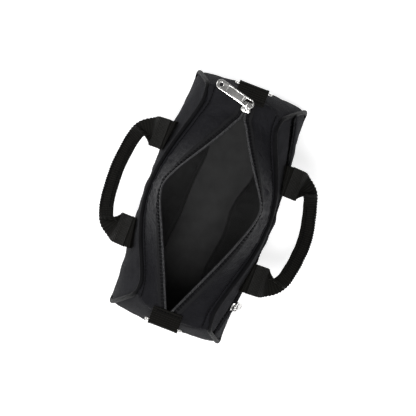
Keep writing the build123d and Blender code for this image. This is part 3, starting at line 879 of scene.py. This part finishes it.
def add_handle_bend(name, side, label, centre):
    """The stretch of webbing that rolls over from the wall to the free loop."""
    hinge, out, face = leg_plane(name, side)
    columns, rows = 15, 17
    points = np.zeros((rows, columns, 3))
    for j, share in enumerate(np.linspace(-1, 1, columns)):
        x = centre + share * WEB_W / 2
        start = anchor_point(x, ANCHOR_TOP - 1.5 * MM, side) + [0, side * WEB_T, 0]
        stop = hinge + out * BEND_REACH + face * WEB_T / 2 + [x, 0, 0]
        up = start + np.array([0, 0, 7.5 * MM])
        before = stop - out * 7.0 * MM
        for i, t in enumerate(np.linspace(0, 1, rows)):
            rest = 1 - t
            points[i, j] = rest**3 * start + 3 * rest**2 * t * up + 3 * rest * t**2 * before + t**3 * stop
    if side < 0:
        points = points[:, ::-1]
    verts, faces, uvs = shell(points, WEB_T)
    piece = build(f"handle_{name}_bend_{label}", (verts, faces, uvs[:, ::-1]), WEBBING, None)
    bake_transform(piece)


def spine_path():
    """The fold line of a handle in its own plane, as (x, distance from the hinge), left to right."""
    half = [(51, 4), (51, 14), (50.8, 24), (48.6, 32.5), (43, 39.5), (34.5, 44.4), (24, 47.8), (12, 49.9)]
    right = [(x * MM, d * MM) for x, d in half]
    return [(-x, d) for x, d in right] + [(0.0, HANDLE_REACH - GRIP_W)] + right[::-1]


def droop(name, x, distance):
    """How much of its distance from the hinge a point of the loop keeps: the grip's right half falls back."""
    return 1 - HANDLE_DROOP[name] * smooth(x / (40 * MM)) * smooth((distance - 20 * MM) / (20 * MM))


def turned(inside, height, twist):
    """A point of the strap's section after the grip has turned its face up."""
    return inside * cos(twist) + height * sin(twist), height * cos(twist) - inside * sin(twist)


def leg_sway(near, x_seed, side):
    """How far a leg of the loop bows out of its plane at a distance from its end: a ridge, then a cup."""
    sway = 0.7 * MM * crease(near, side * 2.0, x_seed, 16 * MM, 2.0)
    sway += 1.4 * MM * exp(-(((near - 16 * MM) / (4.5 * MM)) ** 2))
    return sway - 3.5 * MM * exp(-(((near - 27 * MM) / (6 * MM)) ** 2))


FOLD_FROM, FOLD_TO = 16 * MM, 46 * MM  # along the fold line, from flat leg to doubled grip
FULL_FOLD = radians(181)
GRIP_SEAMS = (3.0 * MM, 12.2 * MM)  # rows of stitches, from the fold line


def add_handle_loop(name, side):
    """Free webbing: flat legs, and a grip where the inner half folds over the outer half."""
    hinge, out, face = leg_plane(name, side)
    flat = resample(smooth_path(spine_path()), 0.75 * MM)
    length = lengths_along(flat)
    tangent = unit(np.gradient(flat, axis=0))
    inward = np.stack([tangent[:, 1], -tangent[:, 0]], axis=1)
    width = np.linspace(-WEB_W / 2, WEB_W / 2, 41)
    grid = np.zeros((len(width), len(flat), 3))
    for i, (point, (in_x, in_d)) in enumerate(zip(flat, inward)):
        near = min(length[i], length[-1] - length[i])
        fold = FULL_FOLD * smooth((near - FOLD_FROM) / (FOLD_TO - FOLD_FROM))
        twist = GRIP_TWIST * fold / pi
        jag = (i % 3 - 1) * 0.4 * MM
        sway = leg_sway(near, length[i], side) * smooth(near / (30 * MM))
        kept = droop(name, point[0], point[1])
        profile = fold_profile(width, fold)
        profile[0] = (profile[0][0] + jag, profile[0][1])
        profile[-1] = (profile[-1][0] + jag * cos(fold), profile[-1][1])
        for k, (inside, height) in enumerate(profile):
            height *= 1 - 0.35 * sin(min(fold, pi))
            inside, height = turned(inside, height, twist)
            x, d = point[0] + in_x * inside, (point[1] + in_d * inside) * kept
            grid[k, i] = hinge + np.array([x, 0, 0]) + out * d + face * (height + sway)
    if side < 0:
        grid = grid[::-1]
    uvs = np.stack(np.broadcast_arrays(length[None, :], width[:, None]), axis=2)
    body = f"handle_{name}"
    build(f"{body}_webbing", shell(grid, WEB_T, uvs), WEBBING, body, [f"{body}_loop"])
    grip = (length > FOLD_TO) & (length < length[-1] - FOLD_TO)
    parts = []
    for inset in GRIP_SEAMS:
        inside, over = turned(-inset, 2 * FOLD_R + WEB_T + 0.1 * MM, GRIP_TWIST)
        lifted = [hinge + np.array([x, 0, 0]) + out * d * droop(name, x, HANDLE_REACH) + face * over
                  for x, d in flat[grip] + inward[grip] * inside]
        parts += stitches(lifted, face)
    build(f"{body}_stitching", join_parts(parts), THREAD, body, slot="webbing")


def fold_profile(across, fold):
    """A strap's section: the outer half stays flat and the inner half turns by fold, up and over it.
    Each point is (distance inward from the fold line, height over the plane)."""
    points = [(u, 0.0) for u in across[across < 0]]
    inside, height, last = 0.0, 0.0, 0.0
    bend = max(pi * FOLD_R, 0.35 * WEB_W * (1 - fold / pi))
    for u in across[across >= 0]:
        for step in np.linspace(last, u, 5)[1:]:
            heading = fold * min(step / bend, 1.0)
            inside += (u - last) / 4 * cos(heading)
            height += (u - last) / 4 * sin(heading)
        points.append((inside, height))
        last = u
    return points


def add_ring_tab(name, end):
    """A webbing tab over the zip's end, folded round the ring's bar and sewn down the end wall."""
    low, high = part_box(f"ring_tab_{name}")
    top, fold_x = high.z - WEB_T / 2, max(abs(low.x), abs(high.x)) - WEB_T / 2
    start = min(abs(low.x), abs(high.x)) - 1.0 * MM
    under = top - 5.4 * MM  # the tab's lower layer, below the ring's bar
    bulge = 0.5 * MM
    outline = [
        (start, top - 0.2 * MM), (start + 4 * MM, top + bulge),
        (fold_x - 3.5 * MM, top), (fold_x - 0.8 * MM, top - 0.9 * MM), (fold_x, (top + under) / 2),
        (fold_x - 0.9 * MM, under + 0.8 * MM), (fold_x - 4 * MM, under - 0.5 * MM),
        (end_x(RIM_Z) + 2.4 * MM, under - 3.5 * MM), (end_x(132 * MM) + 1.8 * MM, 132 * MM),
        (end_x(low.z) + 1.5 * MM, low.z),
    ]
    centres = np.array([(end * x, 0.0, z) for x, z in resample(smooth_path(outline), 0.75 * MM)])
    laterals = np.tile([0.0, 1.0, 0.0], (len(centres), 1))
    normals = np.cross(unit(np.gradient(centres, axis=0)), laterals) * -end
    strap = webbing_strip(centres, laterals * -end, normals)
    build(f"ring_tab_{name}_webbing", strap, WEBBING, stands_for=[f"ring_tab_{name}"])
    for z in (low.z + 3 * MM, low.z + 6 * MM):
        x = end * (end_x(z) + 1.5 * MM + WEB_T / 2 + 0.15 * MM)
        seams.extend(stitches([(x, y, z) for y in np.linspace(-13 * MM, 13 * MM, 20)], (end, 0, 0)))
    x, z = end * (start + 3 * MM), top + bulge + WEB_T / 2 + 0.1 * MM
    seams.extend(stitches([(x, y, z) for y in np.linspace(-13.5 * MM, 13.5 * MM, 20)], (0, 0, 1)))


# ---------------------------------------------------------------- metal
def rounded_rectangle(width, height, radius, centre_x=0.0, steps=7):
    points = []
    for quarter, (sx, sy) in enumerate(((1, 1), (-1, 1), (-1, -1), (1, -1))):
        for k in range(steps):
            turn = pi / 2 * (quarter + k / (steps - 1))
            points.append((centre_x + sx * (width / 2 - radius) + radius * cos(turn),
                           sy * (height / 2 - radius) + radius * sin(turn)))
    return points


def circle(radius, centre_x, steps=24):
    turns = [2 * pi * k / steps for k in range(steps)]
    return [(centre_x + radius * cos(turn), radius * sin(turn)) for turn in turns]


def plate(loops, thick, bevel, place):
    """A flat plate with rounded edges: its outline, then its holes, put in place by a matrix."""
    curve = bpy.data.curves.new("outline", "CURVE")
    curve.dimensions = "2D"
    curve.fill_mode = "BOTH"
    curve.extrude = thick / 2 - bevel
    curve.bevel_depth = bevel
    curve.bevel_resolution = 3
    curve.offset = -bevel
    for loop in loops:
        spline = curve.splines.new("POLY")
        spline.points.add(len(loop) - 1)
        for point, (x, y) in zip(spline.points, loop):
            point.co = (x, y, 0, 1)
        spline.use_cyclic_u = True
    holder = bpy.data.objects.new("outline", curve)
    mesh = bpy.data.meshes.new_from_object(holder)
    mesh.transform(place)
    verts = np.array([v.co for v in mesh.vertices])
    faces = [list(p.vertices) for p in mesh.polygons]
    bpy.data.objects.remove(holder)
    bpy.data.curves.remove(curve)
    bpy.data.meshes.remove(mesh)
    return verts, faces, np.zeros((len(verts), 2))


def weld(piece):
    """Joins the plate's edges, so that its rounded edges shade as one surface."""
    modifier = piece.modifiers.new("weld", "WELD")
    modifier.merge_threshold = 0.01 * MM
    bpy.context.view_layer.update()
    evaluated = piece.evaluated_get(bpy.context.evaluated_depsgraph_get())
    mesh = bpy.data.meshes.new_from_object(evaluated)
    piece.modifiers.clear()
    piece.data = mesh
    for polygon in mesh.polygons:
        polygon.use_smooth = True
    mesh.set_sharp_from_angle(angle=radians(40))


def placed(origin, x_dir, z_dir):
    x_dir, z_dir = Vector(x_dir).normalized(), Vector(z_dir).normalized()
    y_dir = z_dir.cross(x_dir)
    return Matrix((
        (x_dir.x, y_dir.x, z_dir.x, origin[0]),
        (x_dir.y, y_dir.y, z_dir.y, origin[1]),
        (x_dir.z, y_dir.z, z_dir.z, origin[2]),
        (0, 0, 0, 1),
    ))


SLIDER_CHANNEL, SHIELD_T = 2.6 * MM, 1.15 * MM


def add_slider(name, origin, x_dir, z_dir, length, half_w, crown):
    """A coil-zip slider: two shields with flanges, a diamond between them and a bridge on top."""
    nose, waist = length / 2, half_w * 0.8
    half = [(-nose, -waist), (-nose * 0.2, -waist * 1.02), (nose * 0.55, -half_w), (nose * 0.93, -half_w * 0.8),
            (nose, -half_w * 0.2)]
    shield = [tuple(p) for p in smooth_path(half + [(x, -y) for x, y in reversed(half)], 5)]
    place = placed(origin, x_dir, z_dir)
    sideways = np.array(place.col[1].to_3d())
    parts = []
    for up in (-1, 1):
        move = place @ Matrix.Translation((0, 0, up * (SLIDER_CHANNEL + SHIELD_T) / 2))
        parts.append(plate([shield], SHIELD_T, 0.35 * MM, move))
        for hand in (-1, 1):
            rail = [(-nose * 0.9, waist - 0.2 * MM), (0.0, waist), (nose * 0.5, half_w - 0.5 * MM)]
            rail = smooth_path([(x, hand * y) for x, y in rail], 4)
            line = [place @ Vector((x, y, up * (SLIDER_CHANNEL / 2 - 0.15 * MM))) for x, y in rail]
            parts.append(tube(line, 0.42 * MM, 8, up=z_dir))
    top = SLIDER_CHANNEL / 2 + SHIELD_T
    arch = [
        (-nose + 1.2 * MM, top - 0.4 * MM), (-nose + 1.0 * MM, top + crown * 0.55),
        (-nose + 1.9 * MM, top + crown + 0.4 * MM), (0.0, top + crown + 0.7 * MM),
        (nose - 2.3 * MM, top + crown + 0.3 * MM), (nose - 1.6 * MM, top + crown * 0.5),
        (nose - 1.7 * MM, top - 0.4 * MM),
    ]
    line = [place @ Vector((x, 0.0, z)) for x, z in smooth_path(arch, 8)]
    parts.append(tube(line, 0.62 * MM, 12, up=sideways, flatten=1.75))
    reach = SLIDER_CHANNEL / 2 + 0.2 * MM
    diamond = [place @ Vector((nose - 1.3 * MM, 0.0, z)) for z in (-reach, 0.0, reach)]
    parts.append(tube(diamond, 0.5 * MM, 8, up=sideways, flatten=0.7))
    weld(build(f"{name}_metal", join_parts(parts), NICKEL, name, [name]))


def add_main_puller():
    """A long flat puller with a window for the bridge, a hole at the tip and a plain sunk panel between."""
    lie = radians(76)
    place = placed(JOINTS["main_puller_swivel"]["pos_m"], (cos(lie), sin(lie), 0), (0, 0, 1))
    length, width, back = 42 * MM, 9.8 * MM, 5.9 * MM
    centre = length / 2 - back
    outline = rounded_rectangle(length, width, 4.6 * MM, centre, 9)
    window = rounded_rectangle(8.6 * MM, 6.4 * MM, 3.0 * MM)
    hole = circle(1.9 * MM, length - back - width / 2)
    panel = rounded_rectangle(17.5 * MM, 6.2 * MM, 1.0 * MM, centre + 0.2 * MM)
    sunk = rounded_rectangle(18.3 * MM, 7.0 * MM, 1.2 * MM, centre + 0.2 * MM)
    parts = [plate([outline, window, hole, panel], 1.8 * MM, 0.5 * MM, place),
             plate([sunk], 0.9 * MM, 0.1 * MM, place)]
    weld(build("main_puller_metal", join_parts(parts), NICKEL, "main_puller", ["main_puller"]))


def pocket_frame():
    """Where the pocket's slider is: its middle, the direction along the chain, and outwards."""
    centre = Vector(JOINTS["pocket_slide"]["pos_m"])
    radius = centre.y + side_y(POCKET_Z) - CHAIN_SINK
    turn = math.asin(POCKET_SLIDER_X / radius)
    outward = Vector((sin(turn), -cos(turn), 0.0))
    return centre + outward * radius, Vector((cos(turn), sin(turn), 0.0)), outward


def add_pocket_pull():
    """A short flat puller that hangs from the pocket's slider, with a window and a hole at its tip."""
    outward = pocket_frame()[2]
    pivot, face = (Vector(JOINTS["pocket_puller_swivel"][key]) for key in ("pos_m", "axis"))
    hang = outward * face.z - Vector((0, 0, math.sqrt(1 - face.z**2)))
    length, width, back = 25 * MM, 8 * MM, 3.1 * MM
    outline = rounded_rectangle(length, width, 1.5 * MM, length / 2 - back)
    window = rounded_rectangle(7.8 * MM, 5.4 * MM, 1.6 * MM, 1.9 * MM)
    hole = circle(1.5 * MM, length - back - width / 2)
    puller = plate([outline, window, hole], 1.2 * MM, 0.35 * MM, placed(pivot, hang, face))
    weld(build("pocket_puller_metal", puller, NICKEL, "pocket_puller", ["pocket_puller"]))


RING_WIRE_R, RING_LEAN = 1.5 * MM, radians(9)


def add_ring(name, end):
    """A D-ring of round wire, straight in its tab and round below."""
    pivot = np.array(JOINTS[f"ring_{name}_swing"]["pos_m"])
    down = np.array([end * sin(RING_LEAN), 0.0, -cos(RING_LEAN)])
    half = [(0, 0), (13.5, 0), (15.6, 0.2), (17.2, 1.3), (17.6, 3.2),
            (16.7, 9), (15.2, 16), (13.2, 20), (9.5, 21.8), (4, 22.0)]
    outline = half + [(-y, d) for y, d in reversed(half[1:])] + half[:1]
    path = [pivot + [0.0, y, 0.0] + down * d for y, d in smooth_path(outline, 6)[:-1] * MM]
    wire = tube(path, RING_WIRE_R, 16, up=(down[2], 0.0, -down[0]), closed=True)
    build(f"ring_{name}_wire", wire, NICKEL, f"ring_{name}", [f"ring_{name}"])


# ---------------------------------------------------------------- put it together
add_walls()
floor_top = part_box("base_board")[1].z + 1.1 * MM
floor_cloth("lining_floor_cloth", "lining_floor", 124 * MM, 54.5 * MM, floor_top, LINING_T, LINING, 5 * MM,
            sag=0.9 * MM, seed=5.0)
floor_cloth("base_cloth", "base_panel", 129.6 * MM, 59.2 * MM, 1.5 * MM, 1.5 * MM, NYLON, 9 * MM)
for name, side in SIDES.items():
    add_gusset(f"top_gusset_{name}", side)
    add_zip_half(side, f"zip_tape_{name}", f"zip_coil_{name}", 0.25 * side)
    add_handle_ends(name, side)
    for label, centre in (("left", -HANDLE_X), ("right", HANDLE_X)):
        add_handle_bend(name, side, label, centre)
    add_handle_loop(name, side)
add_pocket_zip()
for name, end in ENDS.items():
    add_ring_tab(name, end)
    add_ring(name, end)
build("topstitching", join_parts(seams), THREAD, slot="nylon")

slider_low, slider_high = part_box("main_slider")
slider_middle = ((slider_low.x + slider_high.x) / 2, 0.0, ZIP_Z)
add_slider("main_slider", slider_middle, (-1, 0, 0), (0, 0, 1), 10.4 * MM, 4.7 * MM, 3.0 * MM)
pocket_origin, pocket_along, pocket_out = pocket_frame()
add_slider("pocket_slider", pocket_origin, -pocket_along, pocket_out, 8.6 * MM, 4.3 * MM, 3.8 * MM)
add_main_puller()
add_pocket_pull()

for node, made in (("base_board", BOARD), ("pocket_lining", CAD_LINING)):
    carried = frame["nodes"][node]
    carried.data.materials.clear()
    carried.data.materials.append(made)

# ---------------------------------------------------------------- floor, light and camera
paper = material("paper", rough=0.9)
paper_shader = paper.node_tree.nodes["Principled BSDF"]
paper_shader.inputs["Base Color"].default_value = (0.93, 0.93, 0.93, 1)
paper_shader.inputs["Emission Color"].default_value = (1, 1, 1, 1)
paper_shader.inputs["Emission Strength"].default_value = 0.5
bpy.ops.mesh.primitive_plane_add(size=8, location=(0, 0, -0.2 * MM))
ground = bpy.context.object
ground.name = "ground"
ground.data.materials.append(paper)

world = bpy.data.worlds.new("studio")
bpy.context.scene.world = world
world.use_nodes = True
background = world.node_tree.nodes["Background"]
background.inputs["Color"].default_value = (1, 1, 1, 1)
background.inputs["Strength"].default_value = 0.25


def area_light(name, place, size, power):
    light = bpy.data.lights.new(name, "AREA")
    light.shape = "DISK"
    light.size = size
    light.energy = power
    holder = bpy.data.objects.new(name, light)
    holder.location = place
    holder.rotation_euler = (Vector((0, 0, 0.1)) - Vector(place)).to_track_quat("-Z", "Y").to_euler()
    bpy.context.scene.collection.objects.link(holder)


area_light("key", (0.25, 1.5, 1.6), 1.2, 26)
area_light("fill", (-0.6, -1.4, 1.6), 1.4, 12)
area_light("top", (-0.5, 0.0, 2.1), 0.7, 24)

# The camera looks straight down, turned so that the bag's +X end is up and to the right.
CAMERA_HEIGHT = 1.6
FRAME_WIDTH = 441.15 * MM  # what the square view spans at the floor
OFF_CENTRE = (0.5 * MM, 1.3 * MM)  # to the right and up, of the bag's middle in the view
TURN = radians(69.02)  # direction of +X in the view, from the right
right = Vector((cos(TURN), -sin(TURN), 0))
up = Vector((sin(TURN), cos(TURN), 0))
eye = Vector((0, 0, CAMERA_HEIGHT)) - right * OFF_CENTRE[0] - up * OFF_CENTRE[1]
camera_data = bpy.data.cameras.new("camera")
camera_data.lens = camera_data.sensor_width * CAMERA_HEIGHT / FRAME_WIDTH
camera = bpy.data.objects.new("camera", camera_data)
camera.matrix_world = placed(eye, right, (0, 0, 1))
bpy.context.scene.collection.objects.link(camera)
bpy.context.scene.camera = camera
bpy.context.scene.view_settings.view_transform = "Standard"
